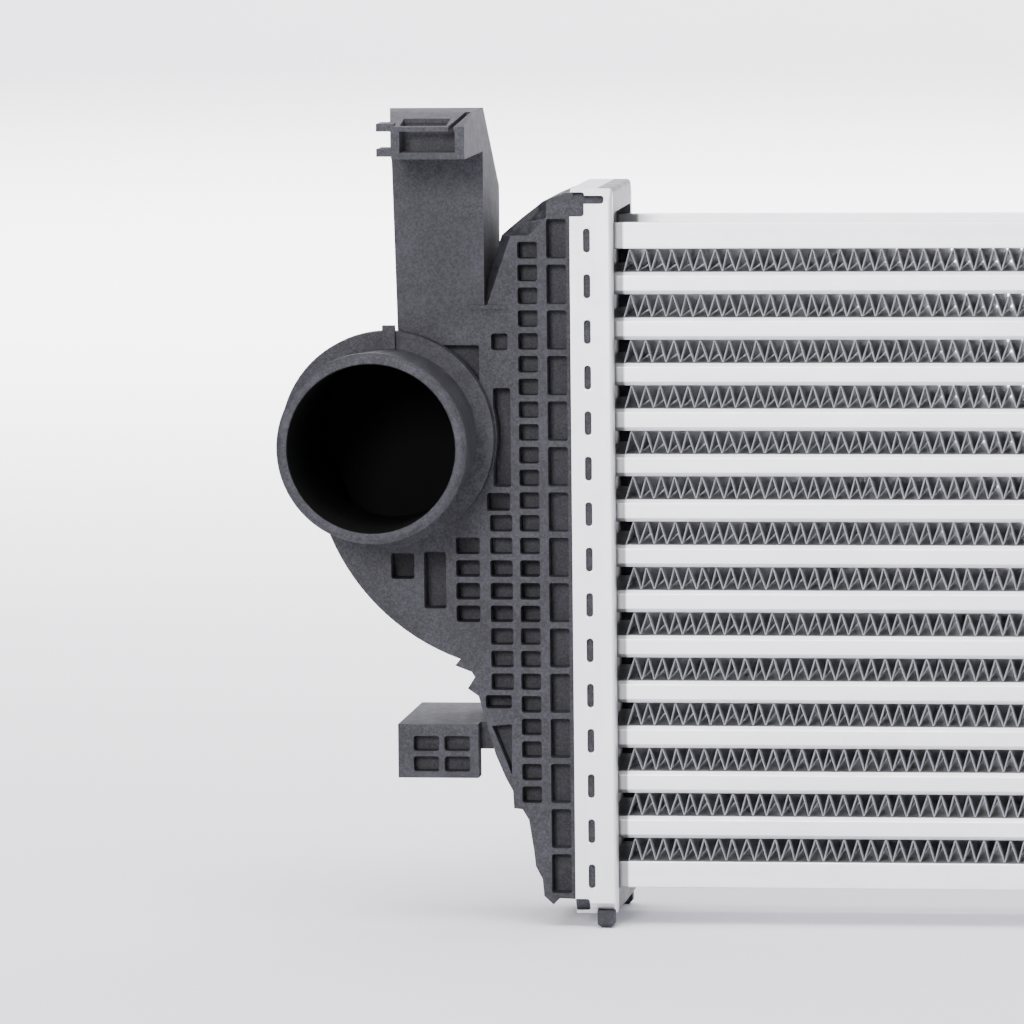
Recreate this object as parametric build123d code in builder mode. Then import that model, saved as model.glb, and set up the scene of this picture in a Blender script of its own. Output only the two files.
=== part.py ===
from build123d import *
import os

# Charge-air cooler: a brazed aluminium core between two slotted header trays,
# with a moulded plastic tank crimped on each tray. X runs along the core, the
# hose spigots point towards -Y and the cooler stands on the tanks' corner nubs.
# All sizes are in millimetres.

# Core
tube_count = 13
tube_height = 7.6
tube_depth = 50.0
tube_wall = 0.9
tube_nose_chamfer = 1.3
air_fin_height = 7.9
air_fin_recess = 1.0
air_fin_sheet = 0.45
air_fin_waves = 8
air_fin_end_gap = 3.0
turbulator_sheet = 0.4
turbulator_waves = 2
turbulator_end_gap = 6.0
turbulator_clearance = 0.05
core_length = 500.0
braze_gap = 0.05

# Side plates, open channels above and below the stack
side_plate_height = 9.0
side_plate_sheet = 1.5

# Header trays
header_width = 14.4
header_sheet = 1.2
header_lap = 2.0
header_top_overhang = 11.7
header_bottom_overhang = 8.5
header_corner = 4.0
tube_plate_step = 4.2
trough_width_y = 5.4
trough_width_z = 8.3
tube_end_reach = 2.0
crimp_slot_width = 2.4
crimp_slot_height = 8.2
crimp_slot_offset = 5.7
crimp_slot_drop = 0.5
corner_notch_width = 4.9
top_notch_height = 8.1
bottom_notch_height = 4.2
corner_notch_depth = 6.0
finger_slot_reach = 11.6
finger_slot_height = 2.7
finger_slot_drop = 2.3

# Rubber seals
seal_height = 2.2
seal_clearance = 0.1

# Tanks: u is measured outwards from the header's edge, y from the middle of
# the core's depth with the front negative
foot_ring_wall = 2.8
tank_half_depth = 30.0
tank_wall = 3.1
tank_end_drop = 1.4
tank_floor_rise = 5.0
tank_root = 1.0
cavity_half_depth = 18.0
mouth_half_depth = 24.0
mouth_reach = -1.5
throat_reach = 9.0
mouth_end_gap = 8.0

# Outline of a tank as (u, height) pairs, in order from its crown to its foot:
# heights from the tank's top, the port's axis, the mounting box and the tank's
# bottom, and those of the scroll below the drum from the port's axis both ways
crown_points = [(1.7, 0.0), (5.8, -1.4), (9.9, -3.1), (17.5, -8.9), (24.4, -14.7)]
neck_u = 32.0
drum_shoulder = (36.0, 3.0)
drum_end_angle = -25.0
scroll_start = (20.8, -33.6)
scroll_middle = (3.1, -59.5)
scroll_end = (-23.6, -76.0)
heel_points = [(40.9, -78.2), (35.2, -80.4), (34.1, -82.2), (36.6, -86.1), (32.9, -88.7)]
toe_points = [(27.2, 7.8), (23.8, -0.2), (21.4, -4.6), (21.1, -10.6), (18.2, -10.9), (16.0, -14.6), (14.4, -24.9)]
foot_points = [(13.8, 11.3), (11.5, 6.8), (11.0, 1.0), (7.8, -1.9), (5.6, 0.3)]

# Shoulder set back from the front face, from the header side outwards as (u, height)
# from the tank's top
shoulder_points = [(8.2, -8.2), (14.1, -14.3), (20.5, -14.6), (28.6, -38.0)]
shoulder_setback = 8.0
shoulder_draft = 24.0

# Corner nubs that the cooler stands on
nub_width = 5.8
nub_depth = 4.8
nub_offset = 10.2
nub_drop = 4.9
nub_chamfer = 1.4
nub_clearance = 0.3

# Hose spigot
port_u = 62.6
port_z = 168.2
port_bore_radius = 28.35
spigot_radius = 30.6
spigot_length = 46.0
bead_radius = 32.15
bead_length = 4.6
bead_edge_chamfer = 1.2
drum_radius = 31.5
collar_radius = 36.5
collar_thickness = 6.0
boss_width = 4.3
boss_height = 8.0
boss_shift = 1.2
boss_thickness = 2.5

# Rib grid on the faces of a tank
rib = 2.0
grid_a_width = 6.8
grid_a_offset = 4.9
grid_b_width = 6.8
grid_b_offset = 14.8
grid_c_width = 7.7
grid_c_offset = 24.6
grid_d_width = 8.2
grid_d_offset = 36.1
grid_b_rows = (-1, 24)
grid_c_rows = (11, 19)
grid_d_rows = (12, 16)
deep_rows = (13, 16)
lone_pocket_drop = 11.8
shallow_pocket = 7.5
deep_pocket = 9.5
back_pocket_pitches = 3

# Odd pockets around the hose drum, from the port's axis: outwards, up, width, height;
# the toe's recess has corners as (u, height above the mounting box's underside)
odd_pockets = [
    (-4.1, -44.2, 8.0, 8.8),
    (-15.2, -49.0, 7.6, 19.4),
    (-38.6, -0.2, 6.0, 33.8),
    (-37.2, -22.2, 8.0, 6.2),
    (-36.6, -90.6, 9.0, 4.6),
]
odd_pocket_margin = 0.4
upper_recess = (-17.6, 24.6, 27.0, 13.4)
toe_recess = [(28.4, 17.7), (21.5, 18.4), (21.7, 0.9)]

# Tall bracket with its forward clip, on the left tank
bracket_inner_u = 29.6
bracket_outer_u = 61.2
bracket_lean = 2.0
bracket_top_z = 280.0
bracket_bottom_z = 200.0
bracket_depth = 44.0
bracket_wall = 2.5
bracket_slope_drop = 29.0
bracket_ridge_z = 212.4
ridge_height = 1.4
ridge_proud = 0.8
ridge_inner_u = 22.2
ridge_outer_u = 34.5
clip_reach = 48.0
clip_outer_u = 54.3
clip_height = 14.7
clip_nose_drop = 3.9
clip_flat_reach = 26.0
clip_inner_wall = 3.2
clip_outer_wall = 2.8
clip_sheet = 1.5
clip_sill = 2.2
clip_recess = 13.0
clip_partition = 2.0
clip_window_width = 15.8
clip_window_depth = 10.8
clip_slot_width = 1.9
clip_slot_inset = 0.4
clip_tab_reach = 5.0
clip_tab_root = 1.0
clip_tab_depth = 13.0
clip_tab_height = 2.6
clip_tab_rise = 1.1

# Mounting box on each tank
box_inner_u = 32.9
box_outer_u = 60.5
box_bottom_z = 51.6
box_height = 18.4
box_front_y = -32.0
box_depth = 62.0
box_lip_height = 9.1
box_lip_depth = 8.0
box_pocket_width = 8.8
box_pocket_height = 5.2
box_rib = 1.8
box_pocket = 6.0
box_pocket_inset = 1.2
box_pocket_drop = 0.9
arm_half_depth = 24.0
arm_root_u = 25.0

os.makedirs("parts", exist_ok=True)

# Derived places
pitch = tube_height + air_fin_height
nub_floor = 0.0
header_bottom = nub_floor + nub_drop
side_plate_bottom = header_bottom + header_bottom_overhang
fin_stack_height = (tube_count + 1) * air_fin_height + tube_count * tube_height
core_bottom = side_plate_bottom + side_plate_height
core_top = core_bottom + fin_stack_height
side_plate_top = core_top + side_plate_height
header_top = side_plate_top + header_top_overhang
header_middle_z = (header_bottom + header_top) / 2
header_height = header_top - header_bottom
header_depth = 2 * (tank_half_depth + header_lap)
header_edge = core_length / 2 + header_width
tube_plate_x = header_edge - header_width + tube_plate_step
tube_end_x = tube_plate_x + header_sheet + tube_end_reach
front_reach = tank_half_depth + max(spigot_length, clip_reach)
back_reach = header_depth / 2
core_y = (front_reach - back_reach) / 2


def tube_z(index):
    """Middle height of a tube, counted from the bottom."""
    return core_bottom + air_fin_height + tube_height / 2 + index * pitch


def upright(y):
    """Upright plane that faces the front, at y from the middle of the core."""
    return Plane.XZ.offset(-(core_y + y))


def across(x):
    """Plane across the core at x; its own x runs to the back, its y upwards."""
    return Plane.YZ.offset(x)


def zigzag(length, height, sheet, waves, start_x, start_y):
    """Closed outline points of a folded sheet along the first axis."""
    half_wave = length / (2 * waves)
    slope = height / half_wave
    rise = sheet * (1 + slope**2) ** 0.5
    upper = []
    lower = []
    for fold in range(2 * waves + 1):
        at_crest = fold % 2 == 1
        x = start_x + fold * half_wave
        top = start_y + (height if at_crest else rise)
        bottom = start_y + (height - rise if at_crest else 0)
        upper.append((x, top))
        lower.append((x, bottom))
    return upper + lower[::-1] + [upper[0]]


# Flat tubes
for index in range(tube_count):
    with BuildPart() as tube:
        with BuildSketch(across(-tube_end_x)) as tube_section:
            with Locations((core_y, tube_z(index))):
                Rectangle(tube_depth, tube_height)
            chamfer(tube_section.vertices(), tube_nose_chamfer)
            with Locations((core_y, tube_z(index))):
                Rectangle(
                    tube_depth - 2 * tube_wall,
                    tube_height - 2 * tube_wall,
                    mode=Mode.SUBTRACT,
                )
        extrude(amount=2 * tube_end_x)
    tube_name = f"tube_{index + 1:02d}"
    tube.part.label = tube_name
    export_step(tube.part, f"parts/{tube_name}.step")

# Folded inner fins, one in each tube
inner_depth = tube_depth - 2 * tube_wall - 2 * turbulator_clearance
inner_height = tube_height - 2 * tube_wall - 2 * turbulator_clearance
turbulator_length = 2 * (tube_end_x - turbulator_end_gap)
for index in range(tube_count):
    with BuildPart() as turbulator:
        with BuildSketch(across(-turbulator_length / 2)):
            with BuildLine():
                Polyline(
                    zigzag(
                        inner_depth,
                        inner_height,
                        turbulator_sheet,
                        turbulator_waves,
                        core_y - inner_depth / 2,
                        tube_z(index) - inner_height / 2,
                    )
                )
            make_face()
        extrude(amount=turbulator_length)
    turbulator_name = f"turbulator_{index + 1:02d}"
    turbulator.part.label = turbulator_name
    export_step(turbulator.part, f"parts/{turbulator_name}.step")

# Corrugated air fins between the tubes
fin_length = core_length - 2 * air_fin_end_gap
fin_half_depth = tube_depth / 2 - air_fin_recess
for index in range(tube_count + 1):
    with BuildPart() as air_fin:
        with BuildSketch(upright(fin_half_depth)):
            with BuildLine():
                Polyline(
                    zigzag(
                        fin_length,
                        air_fin_height,
                        air_fin_sheet,
                        air_fin_waves,
                        -fin_length / 2,
                        core_bottom + index * pitch,
                    )
                )
            make_face()
        extrude(amount=2 * fin_half_depth)
    air_fin_name = f"air_fin_{index + 1:02d}"
    air_fin.part.label = air_fin_name
    export_step(air_fin.part, f"parts/{air_fin_name}.step")


def side_plate(web_z, flange_way, name):
    """Channel along the core, with its flanges pointing away from the fins."""
    plate_length = 2 * (tube_plate_x - braze_gap)
    with BuildPart() as plate:
        with BuildSketch(across(-plate_length / 2)):
            with Locations((core_y, web_z + flange_way * side_plate_height / 2)):
                Rectangle(tube_depth, side_plate_height)
            with Locations((core_y, web_z + flange_way * (side_plate_sheet + side_plate_height / 2))):
                Rectangle(tube_depth - 2 * side_plate_sheet, side_plate_height, mode=Mode.SUBTRACT)
        extrude(amount=plate_length)
    plate.part.label = name
    export_step(plate.part, f"parts/{name}.step")


side_plate(core_top, 1, "side_plate_top")
side_plate(core_bottom, -1, "side_plate_bottom")


def cut_corner_outline(inset):
    """Outline across the core, inside the header's edges, with its corners cut."""
    front = core_y - header_depth / 2 + inset
    back = core_y + header_depth / 2 - inset
    low = header_bottom + inset
    high = header_top - inset
    corner = header_corner - inset
    Polyline(
        (front + corner, low),
        (back - corner, low),
        (back, low + corner),
        (back, high - corner),
        (back - corner, high),
        (front + corner, high),
        (front, high - corner),
        (front, low + corner),
        (front + corner, low),
    )


def header(side, name):
    """Pressed tray: crimp walls, a trough for the seal and a raised tube plate."""
    edge_x = side * header_edge
    plate_depth = header_depth - 2 * trough_width_y
    plate_height = header_height - 2 * trough_width_z
    plate_outer_x = side * (tube_plate_x + header_sheet)
    slot_x = edge_x - side * crimp_slot_offset
    notch_middle_y = header_depth / 2 - corner_notch_depth / 2
    top_notch_z = header_top - header_sheet - top_notch_height / 2
    bottom_notch_z = header_bottom + header_sheet + bottom_notch_height / 2
    finger_z = header_height / 2 - finger_slot_drop - finger_slot_height / 2
    with BuildPart() as tray:
        with BuildSketch(across(edge_x)):
            with BuildLine():
                cut_corner_outline(0)
            make_face()
        extrude(amount=-side * header_width)
        with BuildSketch(across(edge_x)):
            with BuildLine():
                cut_corner_outline(header_sheet)
            make_face()
        extrude(amount=-side * (header_edge - tube_plate_x - header_sheet), mode=Mode.SUBTRACT)
        with BuildSketch(across(plate_outer_x)):
            with BuildLine():
                cut_corner_outline(header_sheet)
            make_face()
            with Locations((core_y, header_middle_z)):
                Rectangle(plate_depth + 2 * header_sheet, plate_height + 2 * header_sheet, mode=Mode.SUBTRACT)
        extrude(amount=-side * tube_plate_step, mode=Mode.SUBTRACT)
        with BuildSketch(across(side * (core_length / 2))):
            with Locations((core_y, header_middle_z)):
                Rectangle(plate_depth, plate_height)
        extrude(amount=side * tube_plate_step, mode=Mode.SUBTRACT)
        with BuildSketch(across(side * tube_plate_x)):
            with Locations([(core_y, tube_z(index)) for index in range(tube_count)]):
                Rectangle(tube_depth + 2 * braze_gap, tube_height + 2 * braze_gap)
        extrude(amount=side * header_sheet, mode=Mode.SUBTRACT)
        with BuildSketch(upright(-header_depth / 2)):
            with Locations([(slot_x, tube_z(index) - crimp_slot_drop) for index in range(-1, tube_count + 1)]):
                Rectangle(crimp_slot_width, crimp_slot_height)
        extrude(amount=-header_depth, mode=Mode.SUBTRACT)
        with BuildSketch(across(edge_x)):
            with Locations([(core_y + way * notch_middle_y, top_notch_z) for way in (-1, 1)]):
                Rectangle(corner_notch_depth, top_notch_height)
            with Locations([(core_y + way * notch_middle_y, bottom_notch_z) for way in (-1, 1)]):
                Rectangle(corner_notch_depth, bottom_notch_height)
        extrude(amount=-side * corner_notch_width, mode=Mode.SUBTRACT)
        with BuildSketch(across(edge_x)):
            with Locations(
                (core_y - header_depth / 2, header_middle_z + finger_z),
                (core_y + header_depth / 2, header_middle_z + finger_z),
            ):
                Rectangle(2 * trough_width_y, finger_slot_height)
        extrude(amount=-side * finger_slot_reach, mode=Mode.SUBTRACT)
        with BuildSketch(Plane.XY.offset(header_bottom)):
            with Locations([(edge_x - side * nub_offset, core_y + way * nub_middle_y) for way in (-1, 1)]):
                Rectangle(nub_width + 2 * nub_clearance, nub_depth + 2 * nub_clearance)
        extrude(amount=header_sheet + nub_clearance, mode=Mode.SUBTRACT)
    tray.part.label = name
    export_step(tray.part, f"parts/{name}.step")


nub_middle_y = header_depth / 2 - header_sheet - seal_clearance - nub_depth / 2
header(-1, "header_left")
header(1, "header_right")

# Ring of the tank's foot and of the seal, inside the header's trough
ring_depth = header_depth - 2 * header_sheet - 2 * seal_clearance
ring_height = header_height - 2 * header_sheet - 2 * seal_clearance
ring_inset = header_sheet + seal_clearance
ring_hole_depth = ring_depth - 2 * foot_ring_wall
ring_hole_height = ring_height - 2 * foot_ring_wall
trough_floor_x = header_edge - header_width + header_sheet


def seal(side, name):
    """Rubber ring pressed between the trough's floor and the tank's foot."""
    with BuildPart() as ring:
        with BuildSketch(across(side * trough_floor_x)):
            with BuildLine():
                cut_corner_outline(ring_inset)
            make_face()
            with Locations((core_y, header_middle_z)):
                Rectangle(ring_hole_depth, ring_hole_height, mode=Mode.SUBTRACT)
        extrude(amount=side * seal_height)
    ring.part.label = name
    export_step(ring.part, f"parts/{name}.step")


seal(-1, "gasket_left")
seal(1, "gasket_right")

tank_top = header_top - tank_end_drop
tank_bottom = header_bottom + tank_floor_rise


def tank_outline(side):
    """Outline of a tank seen from the front, from its top round to its bottom."""

    def at(u, z):
        return (side * (header_edge + u), z)

    def on_drum(angle):
        spoke = Vector(drum_radius, 0).rotate(Axis.Z, angle)
        return at(port_u + spoke.X, port_z + spoke.Y)

    def from_port(offset):
        return at(port_u + offset[0], port_z + offset[1])

    drum_top = 90.0
    Polyline(
        at(-tank_root, tank_top),
        *[at(u, tank_top + rise) for u, rise in crown_points],
        at(neck_u, bracket_ridge_z),
        at(drum_shoulder[0], port_z + drum_radius + drum_shoulder[1]),
        on_drum(drum_top),
    )
    ThreePointArc(on_drum(drum_top), on_drum((drum_top + drum_end_angle) / 2), on_drum(drum_end_angle))
    Line(on_drum(drum_end_angle), from_port(scroll_start))
    ThreePointArc(from_port(scroll_start), from_port(scroll_middle), from_port(scroll_end))
    Polyline(
        from_port(scroll_end),
        *[at(u, port_z + rise) for u, rise in heel_points],
        *[at(u, box_bottom_z + rise) for u, rise in toe_points],
        *[at(u, tank_bottom + rise) for u, rise in foot_points],
        at(-tank_root, tank_bottom),
        at(-tank_root, tank_top),
    )


def grid_rows(rows):
    """Middle heights of square pockets, counted down in half pitches."""
    top_rib = core_top - air_fin_height / 2
    return [top_rib - (row + 0.5) * pitch / 2 for row in range(*rows)]


def tank(side, with_bracket, name):
    """One moulded tank with its foot ring, nubs, spigot, ribs and mounting box."""

    def at(u, z):
        return (side * (header_edge + u), z)

    square = pitch / 2 - rib
    foot_end = header_width - header_sheet - seal_height
    with BuildPart() as moulding:
        # Body and air space
        with BuildSketch(upright(-tank_half_depth)):
            with BuildLine():
                tank_outline(side)
            make_face()
        extrude(amount=-2 * tank_half_depth)
        with BuildSketch(upright(-cavity_half_depth)):
            with BuildLine():
                tank_outline(side)
            make_face()
            offset(amount=-tank_wall, kind=Kind.TANGENT, mode=Mode.REPLACE)
        extrude(amount=-2 * cavity_half_depth, mode=Mode.SUBTRACT)
        for half_depth, reach in ((cavity_half_depth, throat_reach), (mouth_half_depth, mouth_reach)):
            with BuildSketch(across(side * (header_edge + reach))):
                with Locations((core_y, (tank_top + tank_bottom) / 2)):
                    Rectangle(2 * half_depth, tank_top - tank_bottom - 2 * mouth_end_gap)
            extrude(amount=-side * (reach + foot_end), mode=Mode.SUBTRACT)
        # Shoulder set back above the drum
        with BuildSketch(upright(-tank_half_depth)):
            with BuildLine():
                Polyline(
                    at(shoulder_points[0][0], header_top),
                    *[at(u, tank_top + rise) for u, rise in shoulder_points],
                    at(bracket_inner_u, bracket_ridge_z),
                    at(bracket_outer_u, bracket_ridge_z),
                    at(bracket_outer_u, header_top),
                    at(shoulder_points[0][0], header_top),
                )
            make_face()
        extrude(amount=-shoulder_setback, taper=shoulder_draft, mode=Mode.SUBTRACT)
        # Foot ring in the header's trough
        with BuildSketch(across(side * header_edge)):
            with BuildLine():
                cut_corner_outline(ring_inset)
            make_face()
            with Locations((core_y, header_middle_z)):
                Rectangle(ring_hole_depth, ring_hole_height, mode=Mode.SUBTRACT)
        extrude(amount=-side * foot_end)
        # Nubs under the ends of the foot ring
        with BuildSketch(Plane.XY.offset(nub_floor)):
            with Locations([(side * (header_edge - nub_offset), core_y + way * nub_middle_y) for way in (-1, 1)]):
                Rectangle(nub_width, nub_depth)
        extrude(amount=nub_drop + header_sheet + seal_clearance)
        nub_bottoms = moulding.faces().sort_by(Axis.Z)[0:2]
        chamfer(nub_bottoms.edges(), nub_chamfer)
        # Mounting box, shallow in its lower part, and its arm
        box_front = core_y + box_front_y
        box_top_z = box_bottom_z + box_height
        lip_top_z = box_bottom_z + box_lip_height
        with BuildSketch(across(side * (header_edge + box_outer_u))):
            with BuildLine():
                Polyline(
                    (box_front, box_bottom_z),
                    (box_front, box_top_z),
                    (box_front + box_depth, box_top_z),
                    (box_front + box_depth, lip_top_z),
                    (box_front + box_lip_depth, lip_top_z),
                    (box_front + box_lip_depth, box_bottom_z),
                    (box_front, box_bottom_z),
                )
            make_face()
        extrude(amount=-side * (box_outer_u - box_inner_u))
        with BuildSketch(upright(-arm_half_depth)):
            with Locations(at((box_inner_u + arm_root_u) / 2, (box_top_z + lip_top_z) / 2)):
                Rectangle(box_inner_u - arm_root_u, box_top_z - lip_top_z)
        extrude(amount=-2 * arm_half_depth)
        pocket_middle_u = (box_inner_u + box_outer_u) / 2 - box_pocket_inset
        pocket_middle_z = (box_bottom_z + box_top_z) / 2 - box_pocket_drop
        with BuildSketch(upright(box_front_y)):
            with Locations(at(pocket_middle_u, pocket_middle_z)):
                with GridLocations(box_pocket_width + box_rib, box_pocket_height + box_rib, 2, 2):
                    Rectangle(box_pocket_width, box_pocket_height)
        extrude(amount=-box_pocket, mode=Mode.SUBTRACT)
        # Spigot with its collar and end bead
        with BuildSketch(upright(-tank_half_depth)):
            with Locations(at(port_u, port_z)):
                Circle(spigot_radius)
        extrude(amount=spigot_length)
        with BuildSketch(upright(-tank_half_depth - spigot_length)):
            with Locations(at(port_u, port_z)):
                Circle(bead_radius)
        extrude(amount=-bead_length)
        bead_edges = (
            moulding.edges().filter_by(GeomType.CIRCLE).filter_by(lambda e: abs(e.radius - bead_radius) < 0.01)
        )
        chamfer(bead_edges.sort_by(Axis.Y)[0], bead_edge_chamfer)
        with BuildSketch(upright(-tank_half_depth)):
            with Locations(at(port_u, port_z)):
                Circle(collar_radius)
        extrude(amount=collar_thickness)
        with BuildSketch(upright(-tank_half_depth - collar_thickness)):
            with Locations(at(port_u - boss_shift, port_z + spigot_radius + boss_height / 2)):
                Rectangle(boss_width, boss_height)
        extrude(amount=boss_thickness)
        with BuildSketch(upright(-tank_half_depth - spigot_length)):
            with Locations(at(port_u, port_z)):
                Circle(port_bore_radius)
        extrude(amount=-(spigot_length + tank_half_depth), mode=Mode.SUBTRACT)
        # Tall pockets beside the header, on the back in a coarser row
        with BuildSketch(upright(-tank_half_depth)):
            with Locations([at(grid_a_offset, tube_z(index)) for index in range(-1, tube_count + 1)]):
                Rectangle(grid_a_width, pitch - rib)
        extrude(amount=-shallow_pocket, mode=Mode.SUBTRACT)
        with BuildSketch(upright(tank_half_depth)):
            with Locations([at(grid_a_offset, tube_z(index)) for index in range(0, tube_count, back_pocket_pitches)]):
                Rectangle(grid_a_width, back_pocket_pitches * pitch - rib)
        extrude(amount=shallow_pocket, mode=Mode.SUBTRACT)
        if with_bracket:
            # Columns of square pockets, the middle rows and the odd pockets deeper
            with BuildSketch(upright(-tank_half_depth)):
                with Locations([at(grid_b_offset, z) for z in grid_rows(grid_b_rows)]):
                    Rectangle(grid_b_width, square)
                with Locations([at(grid_c_offset, z) for z in grid_rows(grid_c_rows)]):
                    Rectangle(grid_c_width, square)
                with Locations([at(grid_d_offset, z) for z in grid_rows(grid_d_rows)]):
                    Rectangle(grid_d_width, square)
                with Locations(at(grid_c_offset, bracket_ridge_z - lone_pocket_drop)):
                    Rectangle(grid_c_width - rib, square)
            extrude(amount=-shallow_pocket, mode=Mode.SUBTRACT)
            with BuildSketch(upright(-tank_half_depth)):
                with Locations([at(grid_b_offset, z) for z in grid_rows(deep_rows)]):
                    Rectangle(grid_b_width, square)
                with Locations([at(grid_c_offset, z) for z in grid_rows(deep_rows)]):
                    Rectangle(grid_c_width, square)
                with Locations([at(grid_d_offset, z) for z in grid_rows(deep_rows)]):
                    Rectangle(grid_d_width, square)
                for outwards, up, width, height in odd_pockets:
                    with Locations(at(port_u + outwards, port_z + up)):
                        Rectangle(width, height)
                with Locations(at(port_u, port_z)):
                    Circle(collar_radius + odd_pocket_margin, mode=Mode.SUBTRACT)
            extrude(amount=-deep_pocket, mode=Mode.SUBTRACT)
            with BuildSketch(upright(-tank_half_depth)):
                with Locations(at(port_u + upper_recess[0], port_z + upper_recess[1])):
                    Rectangle(upper_recess[2], upper_recess[3])
                with Locations(at(port_u, port_z)):
                    Circle(spigot_radius + odd_pocket_margin, mode=Mode.SUBTRACT)
                with BuildLine():
                    Polyline(
                        *[at(u, box_bottom_z + rise) for u, rise in toe_recess],
                        at(toe_recess[0][0], box_bottom_z + toe_recess[0][1]),
                    )
                make_face()
            extrude(amount=-shallow_pocket, mode=Mode.SUBTRACT)
            # Tall bracket, open at the back, its side walls cut away at a slope
            front = core_y - tank_half_depth
            back = front + bracket_depth
            foot_outer_u = bracket_outer_u - bracket_lean
            with BuildSketch(upright(-tank_half_depth)):
                with BuildLine():
                    Polyline(
                        at(bracket_inner_u, bracket_bottom_z),
                        at(foot_outer_u, bracket_bottom_z),
                        at(bracket_outer_u, bracket_top_z),
                        at(bracket_inner_u, bracket_top_z),
                        at(bracket_inner_u, bracket_bottom_z),
                    )
                make_face()
            extrude(amount=-bracket_depth)
            with BuildSketch(upright(bracket_wall - tank_half_depth)):
                with BuildLine():
                    Polyline(
                        at(bracket_inner_u + bracket_wall, bracket_ridge_z),
                        at(foot_outer_u - bracket_wall, bracket_ridge_z),
                        at(bracket_outer_u - bracket_wall, bracket_top_z),
                        at(bracket_inner_u + bracket_wall, bracket_top_z),
                        at(bracket_inner_u + bracket_wall, bracket_ridge_z),
                    )
                make_face()
            extrude(amount=-bracket_depth, mode=Mode.SUBTRACT)
            with BuildSketch(across(side * (header_edge + bracket_outer_u))):
                with BuildLine():
                    Polyline(
                        (front + bracket_wall, bracket_top_z),
                        (back, bracket_top_z - bracket_slope_drop),
                        (back, bracket_top_z),
                        (front + bracket_wall, bracket_top_z),
                    )
                make_face()
            extrude(amount=-side * (bracket_outer_u - bracket_inner_u), mode=Mode.SUBTRACT)
            with BuildSketch(upright(-tank_half_depth)):
                with Locations(at((ridge_inner_u + ridge_outer_u) / 2, bracket_ridge_z)):
                    Rectangle(ridge_outer_u - ridge_inner_u, ridge_height)
            extrude(amount=ridge_proud)
            # Forward clip with a sloping roof, narrower at its nose than at the bracket
            clip_bottom_z = bracket_top_z - clip_height
            nose_z = bracket_top_z - clip_nose_drop
            roof_back = front + bracket_wall / 2
            roof_fold = front - clip_flat_reach
            nose = front - clip_reach
            with BuildSketch(across(side * (header_edge + bracket_outer_u))):
                with BuildLine():
                    Polyline(
                        (roof_back, bracket_top_z),
                        (roof_fold, bracket_top_z),
                        (nose, nose_z),
                        (nose, clip_bottom_z),
                        (roof_back, clip_bottom_z),
                        (roof_back, bracket_top_z),
                    )
                make_face()
            extrude(amount=-side * (bracket_outer_u - bracket_inner_u))
            with BuildSketch(Plane.XY.offset(bracket_top_z)):
                with BuildLine():
                    Polyline(
                        (side * (header_edge + clip_outer_u), nose),
                        (side * (header_edge + bracket_outer_u), front),
                        (side * (header_edge + bracket_outer_u), nose),
                        (side * (header_edge + clip_outer_u), nose),
                    )
                make_face()
            extrude(amount=-clip_height, mode=Mode.SUBTRACT)
            # Recess behind the nose, and a hollow behind it that opens downwards
            recess_inner_u = bracket_inner_u + clip_inner_wall
            recess_outer_u = clip_outer_u - clip_outer_wall
            fall = clip_nose_drop / (clip_reach - clip_flat_reach)
            recess_back = nose + clip_recess
            recess_top = nose_z - clip_sheet
            with BuildSketch(across(side * (header_edge + recess_outer_u))):
                with BuildLine():
                    Polyline(
                        (nose, clip_bottom_z + clip_sill),
                        (nose, recess_top),
                        (recess_back, recess_top + fall * clip_recess),
                        (recess_back, clip_bottom_z + clip_sill),
                        (nose, clip_bottom_z + clip_sill),
                    )
                make_face()
            extrude(amount=-side * (recess_outer_u - recess_inner_u), mode=Mode.SUBTRACT)
            hollow_front = recess_back + clip_partition
            hollow_back = front - clip_partition
            with BuildSketch(Plane.XY.offset(clip_bottom_z)):
                hollow_place = (
                    side * (header_edge + (recess_inner_u + recess_outer_u) / 2),
                    (hollow_front + hollow_back) / 2,
                )
                with Locations(hollow_place):
                    Rectangle(recess_outer_u - recess_inner_u, hollow_back - hollow_front)
            extrude(amount=recess_top - clip_bottom_z, mode=Mode.SUBTRACT)
            # Side tabs, window and slanting slot
            tab_u = clip_outer_u - clip_tab_root
            upper_tab_z = nose_z + clip_tab_rise - clip_tab_height / 2
            lower_tab_z = clip_bottom_z + clip_sill
            with BuildSketch(across(side * (header_edge + tab_u))):
                with Locations([(nose + clip_tab_depth / 2, z) for z in (upper_tab_z, lower_tab_z)]):
                    Rectangle(clip_tab_depth, clip_tab_height)
            extrude(amount=side * (clip_tab_root + clip_tab_reach))
            with BuildSketch(Plane.XY.offset(bracket_top_z)):
                window_place = (
                    side * (header_edge + recess_outer_u - clip_window_width / 2),
                    nose + clip_sheet + clip_window_depth / 2,
                )
                with Locations(window_place):
                    Rectangle(clip_window_width, clip_window_depth)
                slot_back_x = side * (header_edge + bracket_inner_u + clip_slot_inset)
                slot_nose_x = side * (header_edge + recess_inner_u + clip_slot_inset)
                with BuildLine():
                    Polyline(
                        (slot_back_x, roof_fold),
                        (slot_back_x + side * clip_slot_width, roof_fold),
                        (slot_nose_x + side * clip_slot_width, nose),
                        (slot_nose_x, nose),
                        (slot_back_x, roof_fold),
                    )
                make_face()
            extrude(amount=-(clip_nose_drop + clip_sheet), mode=Mode.SUBTRACT)
    moulding.part.label = name
    export_step(moulding.part, f"parts/{name}.step")


tank(-1, True, "tank_left")
tank(1, False, "tank_right")
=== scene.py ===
import math
import random

import bmesh
import bpy
from mathutils import Matrix, Vector


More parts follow.
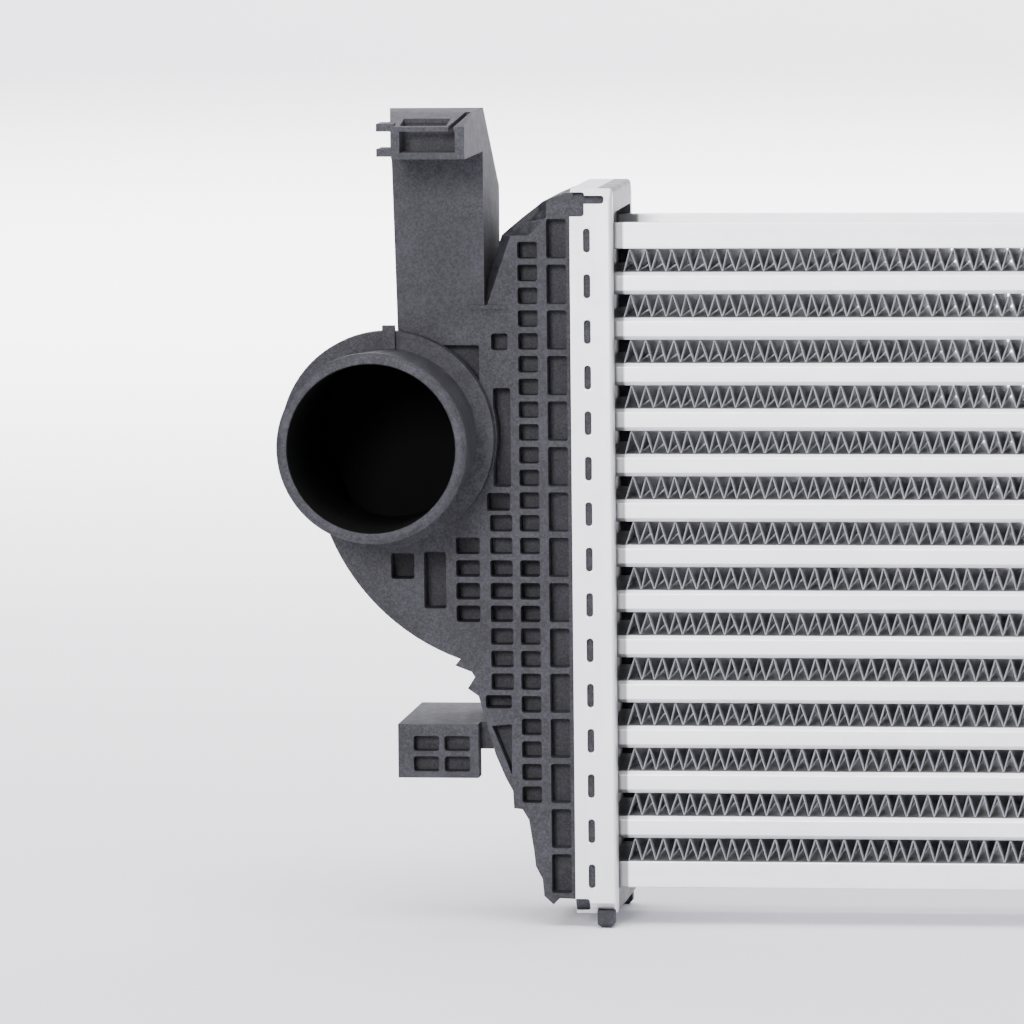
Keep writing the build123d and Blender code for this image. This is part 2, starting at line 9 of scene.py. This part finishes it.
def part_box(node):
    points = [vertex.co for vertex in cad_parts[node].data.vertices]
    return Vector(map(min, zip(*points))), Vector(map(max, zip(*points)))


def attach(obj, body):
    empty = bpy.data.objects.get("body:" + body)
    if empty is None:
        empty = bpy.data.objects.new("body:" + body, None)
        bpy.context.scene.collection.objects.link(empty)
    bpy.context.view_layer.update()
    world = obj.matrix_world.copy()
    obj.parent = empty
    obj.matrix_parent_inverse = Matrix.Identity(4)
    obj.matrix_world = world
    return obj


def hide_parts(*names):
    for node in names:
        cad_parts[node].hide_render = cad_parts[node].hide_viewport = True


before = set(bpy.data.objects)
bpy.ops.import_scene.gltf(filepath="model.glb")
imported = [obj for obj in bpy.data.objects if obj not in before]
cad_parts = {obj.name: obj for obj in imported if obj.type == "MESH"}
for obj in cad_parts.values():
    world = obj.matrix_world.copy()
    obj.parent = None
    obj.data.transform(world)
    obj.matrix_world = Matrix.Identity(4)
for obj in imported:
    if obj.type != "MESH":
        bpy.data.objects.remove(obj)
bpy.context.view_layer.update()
mm = 0.001

# Places read from the frame
header_low, header_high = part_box("header_left")
tube_low, tube_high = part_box("tube_01")
header_edge = -header_low.x
core_y = (tube_low.y + tube_high.y) / 2
tube_count = len([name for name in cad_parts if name.startswith("tube_")])
fin_count = len([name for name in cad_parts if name.startswith("air_fin_")])
core_end = -header_high.x
tank_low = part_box("tank_left")[0]

# Sizes of what this script adds
fin_wave = 4.77 * mm
fin_sheet = 0.22 * mm
fin_crest_round = 0.45 * mm
fin_front_setback = 0.6 * mm
fin_wander = 0.07
louvre_start = 0.7 * mm
louvre_width = 1.2 * mm
louvre_rows = 4
louvre_lift = 0.26 * mm
louvre_end = 0.16
slot_corner_round = 1.1 * mm
header_wall_reach = 8.8 * mm
plate_half_depth = 27.8 * mm
collar_radius = 36.5 * mm
bore_radius = 28.35 * mm
port_x = -tank_low.x - collar_radius
port_z = 168.2 * mm
cavity_reach = 18.1 * mm
header_half_depth = (header_high.y - header_low.y) / 2
spigot_front = core_y - 76.0 * mm
lip_round = 0.8 * mm
tray_bend_round = 1.4 * mm
pocket_corner_round = 0.9 * mm
tube_edge_round = 0.5 * mm
plate_edge_round = 0.4 * mm
tray_edge_round = 0.3 * mm
tank_edge_round = 0.4 * mm
moulded_edge_turn = 32

# Where this script looks for edges and faces
slot_depths = (1.1 * mm, 1.3 * mm)
pocket_depths = (5.5 * mm, 10.0 * mm)
tray_flange_reach = 4.1 * mm
neck_start = 3.4 * mm
neck_full = 2.6 * mm
merge_gap = 0.004 * mm
flat_turn = 0.5
place_tolerance = 0.01 * mm
bore_tolerance = 0.3 * mm
random.seed(7)


def select_only(piece):
    """Leaves one piece selected and active."""
    bpy.ops.object.select_all(action="DESELECT")
    piece.select_set(True)
    bpy.context.view_layer.objects.active = piece


def finish_mesh(piece, angle=35):
    """Shades the flats flat and the rounds smooth."""
    select_only(piece)
    bpy.ops.object.shade_smooth_by_angle(angle=math.radians(angle))
    weighted = piece.modifiers.new("weighted_normals", "WEIGHTED_NORMAL")
    weighted.keep_sharp = True
    bpy.ops.object.modifier_apply(modifier=weighted.name)


def round_edges(piece, width, segments, angle=25):
    """Rounds every edge that turns by more than the angle."""
    select_only(piece)
    bevel = piece.modifiers.new("round_edges", "BEVEL")
    bevel.width = width
    bevel.segments = segments
    bevel.limit_method = "ANGLE"
    bevel.angle_limit = math.radians(angle)
    bevel.use_clamp_overlap = True
    bevel.miter_outer = "MITER_SHARP"
    bpy.ops.object.modifier_apply(modifier=bevel.name)


def merged_copy(node, name):
    """A piece that starts as a copy of a solid's mesh, its triangles merged to faces."""
    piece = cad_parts[node].copy()
    piece.data = piece.data.copy()
    piece.name = name
    piece.data.name = name
    piece.parent = None
    for key in list(piece.keys()):
        del piece[key]
    bpy.context.scene.collection.objects.link(piece)
    select_only(piece)
    bpy.ops.mesh.customdata_custom_splitnormals_clear()
    bpy.ops.object.mode_set(mode="EDIT")
    bpy.ops.mesh.select_all(action="SELECT")
    bpy.ops.mesh.remove_doubles(threshold=merge_gap)
    bpy.ops.mesh.dissolve_limited(angle_limit=math.radians(flat_turn))
    bpy.ops.object.mode_set(mode="OBJECT")
    return piece


def round_corners(piece, chosen, width, segments=4):
    """Rounds the chosen edges, given as a test of an edge of the edit mesh."""
    select_only(piece)
    bpy.ops.object.mode_set(mode="EDIT")
    bpy.ops.mesh.select_mode(type="EDGE")
    bpy.ops.mesh.select_all(action="DESELECT")
    mesh = bmesh.from_edit_mesh(piece.data)
    for edge in mesh.edges:
        edge.select_set(bool(chosen(edge)))
    bmesh.update_edit_mesh(piece.data)
    bpy.ops.mesh.bevel(offset=width, segments=segments, affect="EDGES", clamp_overlap=False)
    bpy.ops.object.mode_set(mode="OBJECT")


def runs_along_y(edge, shortest, longest):
    """Tells whether an edge runs from front to back and has a length in the range."""
    step = edge.verts[0].co - edge.verts[1].co
    length = step.length
    return shortest < length < longest and abs(abs(step.y) - length) < place_tolerance


def is_hollow_corner(edge):
    """Tells whether the faces beside an edge meet at a hollow right angle."""
    if len(edge.link_faces) != 2:
        return False
    angle = edge.calc_face_angle_signed(0.0)
    return -math.radians(100) < angle < -math.radians(60)


def is_tray_bend(edge):
    """Tells whether an edge is an outer bend of a header tray, on its side towards the core."""
    for vertex in edge.verts:
        if abs(abs(vertex.co.x) - core_end) > place_tolerance:
            return False
    middle = (edge.verts[0].co + edge.verts[1].co) / 2
    near_side = header_half_depth - abs(middle.y - core_y) < tray_flange_reach
    near_end = min(middle.z - header_low.z, header_high.z - middle.z) < tray_flange_reach
    angle = edge.calc_face_angle_signed(0.0) if len(edge.link_faces) == 2 else 0.0
    return angle > math.radians(60) and (near_side or near_end)


def is_lip_edge(edge):
    """Tells whether an edge lies on the front face of a spigot."""
    return all(
        abs(vertex.co.y - spigot_front) < place_tolerance
        and math.hypot(abs(vertex.co.x) - port_x, vertex.co.z - port_z) < collar_radius
        for vertex in edge.verts
    )


def stands_for(piece, node, material=None):
    """Sets a finished piece in place of its solid, with its finish if it has none yet."""
    if material:
        piece.data.materials.clear()
        piece.data.materials.append(material)
    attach(piece, "root")
    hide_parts(node)


class Nodes:
    """Short hand for the nodes of one material."""

    def __init__(self, name):
        self.material = bpy.data.materials.new(name)
        self.material.use_nodes = True
        self.tree = self.material.node_tree
        self.shader = self.tree.nodes["Principled BSDF"]
        self.place = self.add("ShaderNodeTexCoord").outputs["Object"]

    def add(self, kind, **values):
        node = self.tree.nodes.new(kind)
        for key, value in values.items():
            if hasattr(node, key):
                setattr(node, key, value)
            else:
                node.inputs[key].default_value = value
        return node

    def link(self, output, node, socket):
        self.tree.links.new(output, node.inputs[socket])

    def stretched(self, scale):
        mapping = self.add("ShaderNodeMapping")
        mapping.inputs["Scale"].default_value = scale
        self.link(self.place, mapping, "Vector")
        return mapping.outputs["Vector"]

    def noise(self, scale, detail=3.0, roughness=0.5, vector=None):
        noise = self.add("ShaderNodeTexNoise")
        noise.inputs["Scale"].default_value = scale
        noise.inputs["Detail"].default_value = detail
        noise.inputs["Roughness"].default_value = roughness
        self.link(vector if vector else self.place, noise, "Vector")
        return noise.outputs["Fac"]

    def spread(self, value, low_in, high_in, low_out, high_out):
        spread = self.add("ShaderNodeMapRange")
        for socket, number in zip(
            ("From Min", "From Max", "To Min", "To Max"), (low_in, high_in, low_out, high_out)
        ):
            spread.inputs[socket].default_value = number
        self.link(value, spread, "Value")
        return spread.outputs["Result"]

    def axis(self, name):
        """One coordinate of the place, without its sign for X, as both ends are alike."""
        split = self.add("ShaderNodeSeparateXYZ")
        self.link(self.place, split, "Vector")
        if name != "X":
            return split.outputs[name]
        return self.math("ABSOLUTE", split.outputs["X"])

    def math(self, operation, first, second=None):
        node = self.add("ShaderNodeMath", operation=operation)
        for socket, value in enumerate((first, second)):
            if isinstance(value, (int, float)):
                node.inputs[socket].default_value = value
            elif value is not None:
                self.link(value, node, socket)
        return node.outputs[0]

    def darkened(self, colour, mask, shade):
        """The colour, scaled down to the shade where the mask is one."""
        scaled = self.add("ShaderNodeVectorMath", operation="SCALE")
        self.link(colour, scaled, 0)
        self.link(self.spread(mask, 0.0, 1.0, 1.0, shade), scaled, "Scale")
        return scaled.outputs[0]

    def blend_colours(self, value, dark, light, start=0.0, end=1.0):
        ramp = self.add("ShaderNodeValToRGB")
        ramp.color_ramp.elements[0].position = start
        ramp.color_ramp.elements[1].position = end
        ramp.color_ramp.elements[0].color = (*dark, 1)
        ramp.color_ramp.elements[1].color = (*light, 1)
        self.link(value, ramp, "Fac")
        return ramp.outputs["Color"]

    def bump(self, value, strength, distance, base=None):
        bump = self.add("ShaderNodeBump")
        bump.inputs["Strength"].default_value = strength
        bump.inputs["Distance"].default_value = distance
        self.link(value, bump, "Height")
        if base:
            self.link(base, bump, "Normal")
        return bump.outputs["Normal"]


def moulded_plastic():
    """Dark glass-filled nylon: mottled by its fibres, cloudy from its flow, with a dull sheen."""
    n = Nodes("moulded_plastic")
    speckle = n.noise(1500, 3, 0.65)
    mottle = n.noise(420, 4, 0.6)
    clouds = n.noise(60, 4, 0.6)
    fibres = n.math("ADD", n.spread(speckle, 0.35, 0.7, 0.0, 0.4), n.spread(mottle, 0.35, 0.7, 0.0, 0.35))
    mixed = n.math("ADD", fibres, n.spread(clouds, 0.3, 0.75, 0.0, 0.25))
    colour = n.blend_colours(mixed, (0.009, 0.0085, 0.0115), (0.042, 0.040, 0.051), 0.25, 0.75)
    n.link(colour, n.shader, "Base Color")
    n.link(n.spread(mottle, 0.3, 0.7, 0.54, 0.76), n.shader, "Roughness")
    n.shader.inputs["Specular IOR Level"].default_value = 0.38
    n.link(n.bump(speckle, 0.2, 0.03 * mm, n.bump(mottle, 0.2, 0.12 * mm)), n.shader, "Normal")
    return n.material


def painted_shade_plastic():
    """The inside of a tank and its bore, painted near black as shade."""
    n = Nodes("painted_shade_plastic")
    dark_noise = n.noise(90, 3, 0.6)
    n.link(n.blend_colours(dark_noise, (0.003, 0.003, 0.003), (0.006, 0.006, 0.006)), n.shader, "Base Color")
    n.link(n.spread(dark_noise, 0.3, 0.7, 0.8, 0.9), n.shader, "Roughness")
    n.shader.inputs["Specular IOR Level"].default_value = 0.05
    return n.material


def drawn_aluminium(name, low, high, rough_low, rough_high, along, shade, shaded):
    """Pale satin aluminium with drawing lines and scuffs, darker where the mask tells."""
    n = Nodes(name)
    lines = n.noise(1.0, 5, 0.6, n.stretched(along))
    scuffs = n.noise(160, 5, 0.7)
    stains = n.noise(24, 4, 0.6)
    mixed = n.math("ADD", n.spread(lines, 0.3, 0.7, 0.0, 0.5), n.spread(stains, 0.3, 0.7, 0.0, 0.5))
    n.link(n.darkened(n.blend_colours(mixed, low, high), shaded(n), shade), n.shader, "Base Color")
    n.shader.inputs["Metallic"].default_value = 0.9
    n.link(n.spread(scuffs, 0.3, 0.75, rough_low, rough_high), n.shader, "Roughness")
    n.link(n.bump(scuffs, 0.12, 0.08 * mm, n.bump(lines, 0.15, 0.05 * mm)), n.shader, "Normal")
    return n.material


def fin_aluminium():
    """Thin rolled fin stock with faint stripes across its depth, where it is slit to louvres."""
    n = Nodes("fin_aluminium")
    patches = n.noise(260, 3, 0.6)
    n.link(n.blend_colours(patches, (0.26, 0.26, 0.28), (0.45, 0.45, 0.48)), n.shader, "Base Color")
    n.shader.inputs["Metallic"].default_value = 0.6
    n.link(n.spread(patches, 0.3, 0.7, 0.38, 0.55), n.shader, "Roughness")
    louvres = n.add("ShaderNodeTexWave", wave_type="BANDS", bands_direction="Y")
    louvres.inputs["Scale"].default_value = 260
    n.link(n.place, louvres, "Vector")
    n.link(n.bump(louvres.outputs["Fac"], 0.5, 0.25 * mm), n.shader, "Normal")
    return n.material


def seal_rubber():
    """Black seal rubber with a dull skin."""
    n = Nodes("seal_rubber")
    skin = n.noise(500, 3, 0.6)
    n.link(n.blend_colours(skin, (0.012, 0.012, 0.012), (0.03, 0.03, 0.03)), n.shader, "Base Color")
    n.link(n.spread(skin, 0.3, 0.7, 0.7, 0.9), n.shader, "Roughness")
    n.link(n.bump(skin, 0.3, 0.05 * mm), n.shader, "Normal")
    return n.material


plastic = moulded_plastic()
inner_painted_shade = painted_shade_plastic()
along_tubes = (6.0, 260.0, 260.0)
along_header = (220.0, 220.0, 10.0)


def painted_shade_on_tube_necks(n):
    """Mask of painted shade on the tubes' necks, where they enter the headers."""
    return n.spread(n.axis("X"), core_end - neck_start, core_end - neck_full, 0.0, 1.0)


def painted_shade_between_tubes(n):
    """Mask of the header's plate between the tubes, painted dark as shade in the recess behind the core."""
    in_reach = n.math("LESS_THAN", n.axis("X"), header_edge - header_wall_reach)
    off_middle = n.math("ABSOLUTE", n.math("SUBTRACT", n.axis("Y"), core_y))
    return n.math("MULTIPLY", in_reach, n.math("LESS_THAN", off_middle, plate_half_depth))


# Tubes and side plates: painted shade darkens their ends where they enter the headers.
tube_metal = drawn_aluminium(
    "tube_aluminium", (0.75, 0.75, 0.78), (0.88, 0.88, 0.91), 0.34, 0.52, along_tubes, 0.28, painted_shade_on_tube_necks
)
# Headers: painted shade darkens the plate between the tubes, behind the core.
header_metal = drawn_aluminium(
    "header_aluminium", (0.68, 0.68, 0.71), (0.82, 0.82, 0.85), 0.36, 0.55, along_header, 0.12, painted_shade_between_tubes
)
fin_metal = fin_aluminium()
rubber = seal_rubber()


def tube_piece(index):
    """One flat tube with rounded noses."""
    node = f"tube_{index:02d}"
    piece = merged_copy(node, f"flat_tube_{index:02d}")
    round_edges(piece, tube_edge_round, 3)
    finish_mesh(piece, 30)
    stands_for(piece, node, tube_metal)


def fin_piece(index):
    """One corrugated fin: a strip folded to waves, its legs slit to louvres at both faces."""
    node = f"air_fin_{index:02d}"
    low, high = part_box(node)
    length = high.x - low.x
    waves = round(length / fin_wave)
    folds = 2 * waves
    half_sheet = fin_sheet / 2
    depth = high.y - low.y - 2 * fin_front_setback
    front_rows = [0.0] + [louvre_start + step * louvre_width for step in range(louvre_rows)]
    rows = front_rows + [depth - reach for reach in reversed(front_rows)]
    bpy.ops.mesh.primitive_grid_add(x_subdivisions=3 * folds, y_subdivisions=len(rows) - 1, size=1)
    piece = bpy.context.object
    piece.name = f"corrugated_fin_{index:02d}"
    fold_x = [low.x]
    for fold in range(1, folds):
        fold_x.append(low.x + length * fold / folds + random.uniform(-fin_wander, fin_wander) * fin_wave)
    fold_x.append(high.x)
    for vertex in piece.data.vertices:
        column = round((vertex.co.x + 0.5) * 3 * folds)
        row = round((vertex.co.y + 0.5) * (len(rows) - 1))
        fold, place = divmod(column, 3)
        bottom, top = low.z + half_sheet, high.z - half_sheet
        start_z, end_z = (top, bottom) if fold % 2 else (bottom, top)
        share = (0.0, louvre_end, 1 - louvre_end)[place]
        x, z = fold_x[fold], start_z
        if place:
            x += share * (fold_x[fold + 1] - fold_x[fold])
            z += share * (end_z - start_z)
            if 0 < row < len(rows) - 1:
                x += louvre_lift if row % 2 else -louvre_lift
        vertex.co = (x, low.y + fin_front_setback + rows[row], z)
    select_only(piece)
    bpy.ops.object.mode_set(mode="EDIT")
    bpy.ops.mesh.select_mode(type="EDGE")
    bpy.ops.mesh.select_all(action="DESELECT")
    bpy.ops.object.mode_set(mode="OBJECT")
    for edge in piece.data.edges:
        one, two = [piece.data.vertices[corner].co for corner in edge.vertices]
        at_fold = min(high.z - one.z, one.z - low.z) < fin_sheet and abs(one.z - two.z) < 1e-6
        edge.select = at_fold and abs(one.x - two.x) < 1e-7 and low.x + 1e-5 < one.x < high.x - 1e-5
    bpy.ops.object.mode_set(mode="EDIT")
    bpy.ops.mesh.bevel(offset=fin_crest_round, segments=2, affect="EDGES", clamp_overlap=True)
    bpy.ops.object.mode_set(mode="OBJECT")
    sheet = piece.modifiers.new("sheet", "SOLIDIFY")
    sheet.thickness = fin_sheet
    sheet.offset = 0
    bpy.ops.object.modifier_apply(modifier=sheet.name)
    bpy.ops.object.shade_smooth_by_angle(angle=math.radians(20))
    stands_for(piece, node, fin_metal)


def side_plate_piece(node, name):
    """One side plate with softened flange edges."""
    piece = merged_copy(node, name)
    round_edges(piece, plate_edge_round, 3)
    finish_mesh(piece)
    stands_for(piece, node, tube_metal)


def header_piece(node, name):
    """One header tray with round-ended crimp slots and softened edges."""
    piece = merged_copy(node, name)
    round_corners(
        piece, lambda edge: is_hollow_corner(edge) and runs_along_y(edge, *slot_depths), slot_corner_round
    )
    round_corners(piece, is_tray_bend, tray_bend_round)
    round_edges(piece, tray_edge_round, 2, moulded_edge_turn)
    finish_mesh(piece)
    stands_for(piece, node, header_metal)


def tank_piece(node, name):
    """One moulded tank with rounded pocket corners and softened edges, painted dark inside as shade."""
    piece = merged_copy(node, name)
    piece.data.materials.clear()
    piece.data.materials.append(plastic)
    piece.data.materials.append(inner_painted_shade)
    # Faces in the bore and the cavity take the near-black material of painted shade.
    for face in piece.data.polygons:
        corners = [piece.data.vertices[corner].co for corner in face.vertices]
        from_axis = [math.hypot(abs(corner.x) - port_x, corner.z - port_z) for corner in corners]
        in_bore = all(abs(reach - bore_radius) < bore_tolerance for reach in from_axis)
        in_cavity = all(abs(corner.y - core_y) < cavity_reach for corner in corners)
        face.material_index = 1 if in_bore or in_cavity else 0
    round_corners(
        piece, lambda edge: is_hollow_corner(edge) and runs_along_y(edge, *pocket_depths), pocket_corner_round
    )
    round_corners(piece, lambda edge: is_lip_edge(edge) and edge.calc_face_angle(0.0) > 0.5, lip_round)
    round_edges(piece, tank_edge_round, 2, moulded_edge_turn)
    finish_mesh(piece)
    stands_for(piece, node)


for number in range(1, tube_count + 1):
    tube_piece(number)
for number in range(1, fin_count + 1):
    fin_piece(number)
side_plate_piece("side_plate_top", "top_side_plate")
side_plate_piece("side_plate_bottom", "bottom_side_plate")
header_piece("header_left", "header_tray_left")
header_piece("header_right", "header_tray_right")
tank_piece("tank_left", "end_tank_left")
tank_piece("tank_right", "end_tank_right")

# Solids that keep their own shape
for name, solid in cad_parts.items():
    if name.startswith("turbulator_"):
        solid.data.materials.clear()
        solid.data.materials.append(fin_metal)
    elif name.startswith("gasket_"):
        solid.data.materials.clear()
        solid.data.materials.append(rubber)

# Floor that rises to a backdrop in one sweep
floor_half = 8.0
sweep_radius = 1.5
sweep_steps = 12
bpy.ops.mesh.primitive_plane_add(size=2 * floor_half)
floor = bpy.context.object
floor.name = "studio_floor"
bpy.ops.object.mode_set(mode="EDIT")
mesh = bmesh.from_edit_mesh(floor.data)
mesh.edges.ensure_lookup_table()
for edge in mesh.edges:
    edge.select_set(all(vertex.co.y > 0 for vertex in edge.verts))
bmesh.update_edit_mesh(floor.data)
bpy.ops.mesh.extrude_edges_move(TRANSFORM_OT_translate={"value": (0, 0, 2 * floor_half)})
bpy.ops.mesh.select_all(action="DESELECT")
bpy.ops.mesh.select_mode(type="EDGE")
mesh = bmesh.from_edit_mesh(floor.data)
for edge in mesh.edges:
    edge.select_set(all(abs(vertex.co.z) < 1e-6 and vertex.co.y > 0 for vertex in edge.verts))
bmesh.update_edit_mesh(floor.data)
bpy.ops.mesh.bevel(offset=sweep_radius, segments=sweep_steps, affect="EDGES")
bpy.ops.object.mode_set(mode="OBJECT")
bpy.ops.object.shade_smooth()


def paper():
    """Pale matt paper for the floor and the backdrop."""
    n = Nodes("studio_paper")
    fibre = n.noise(3.0, 2, 0.5)
    n.link(n.blend_colours(fibre, (0.90, 0.895, 0.93), (0.93, 0.925, 0.96)), n.shader, "Base Color")
    n.shader.inputs["Roughness"].default_value = 0.9
    n.shader.inputs["Specular IOR Level"].default_value = 0.1
    return n.material


floor.data.materials.append(paper())

# Soft studio light
world = bpy.data.worlds.new("studio")
bpy.context.scene.world = world
world.use_nodes = True
world.node_tree.nodes["Background"].inputs["Color"].default_value = (0.92, 0.92, 1.0, 1)
world.node_tree.nodes["Background"].inputs["Strength"].default_value = 0.85


def softbox(name, place, target, size, power):
    """One large soft light aimed at a point."""
    light = bpy.data.lights.new(name, "AREA")
    light.shape = "RECTANGLE"
    light.size, light.size_y = size
    light.energy = power
    lamp = bpy.data.objects.new(name, light)
    bpy.context.scene.collection.objects.link(lamp)
    lamp.location = place
    lamp.rotation_euler = (Vector(target) - Vector(place)).to_track_quat("-Z", "Y").to_euler()


middle = (-0.25, 0.0, 0.14)
softbox("key_light", (-0.66, -3.3, 1.06), middle, (0.6, 0.6), 100)
softbox("top_light", (-0.2, 0.0, 2.4), middle, (2.4, 1.6), 26)
softbox("front_top_light", (-0.3, -1.3, 2.3), (-0.3, -0.5, 0.0), (2.2, 1.2), 60)
softbox("fill_light", (2.2, -1.8, 1.2), middle, (1.4, 1.4), 14)
softbox("backdrop_light", (-0.3, 3.0, 2.6), (-0.3, 4.8, 0.0), (6.0, 3.0), 900)

# Camera at the photo's viewing angle
camera_azimuth = math.radians(7.095)
camera_elevation = math.radians(5.619)
camera_roll = math.radians(-0.572)
camera_distance = 2.82654
camera_target = Vector((-0.28583, -0.002, 0.1421))
camera_data = bpy.data.cameras.new("camera")
camera_data.sensor_width = 36.0
camera_data.lens = 291.8
camera = bpy.data.objects.new("camera", camera_data)
bpy.context.scene.collection.objects.link(camera)
back = Vector(
    (
        math.sin(camera_azimuth) * math.cos(camera_elevation),
        -math.cos(camera_azimuth) * math.cos(camera_elevation),
        math.sin(camera_elevation),
    )
)
right = Vector((0, 0, 1)).cross(back).normalized()
up = back.cross(right)
rolled_right = right * math.cos(camera_roll) + up * math.sin(camera_roll)
rolled_up = up * math.cos(camera_roll) - right * math.sin(camera_roll)
camera.matrix_world = Matrix.Translation(camera_target + back * camera_distance) @ Matrix(
    (rolled_right, rolled_up, back)
).transposed().to_4x4()
bpy.context.scene.camera = camera
